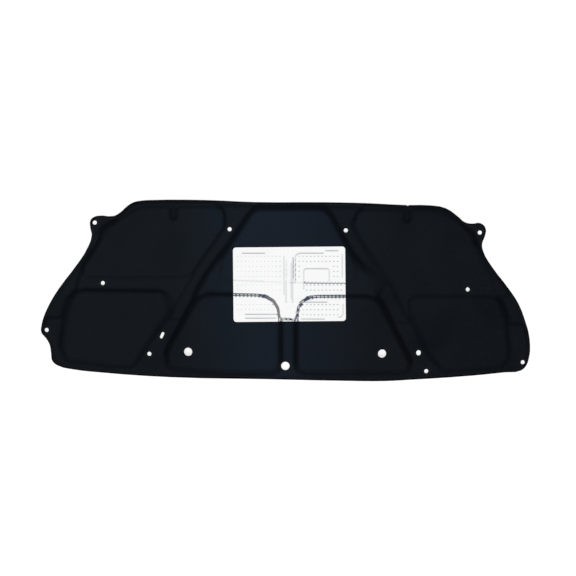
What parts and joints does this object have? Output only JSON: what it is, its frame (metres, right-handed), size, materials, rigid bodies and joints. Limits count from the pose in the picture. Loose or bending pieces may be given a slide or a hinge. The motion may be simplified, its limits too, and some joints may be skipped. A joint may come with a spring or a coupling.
{
  "type": "hood insulation pad",
  "caption": "Pressed felt sound and heat pad for the underside of a car's hood, with raised soft-edged fields, clip holes through its rim and a dimpled foil heat shield in the middle.",
  "frame": {"origin": "under the middle of the pad's outline, on its flat back", "axes": "+X along the pad's length, +Y towards its straight long edge, +Z out of its back towards the face with the foil"},
  "size_m": [1.272, 0.472, 0.0235],
  "materials": {
    "felt": "matt black pressed felt",
    "foil": "bright dimpled foil"
  },
  "bodies": {
    "root": {"felt_pad": "felt", "foil_heat_shield": "foil"}
  },
  "joints": []
}
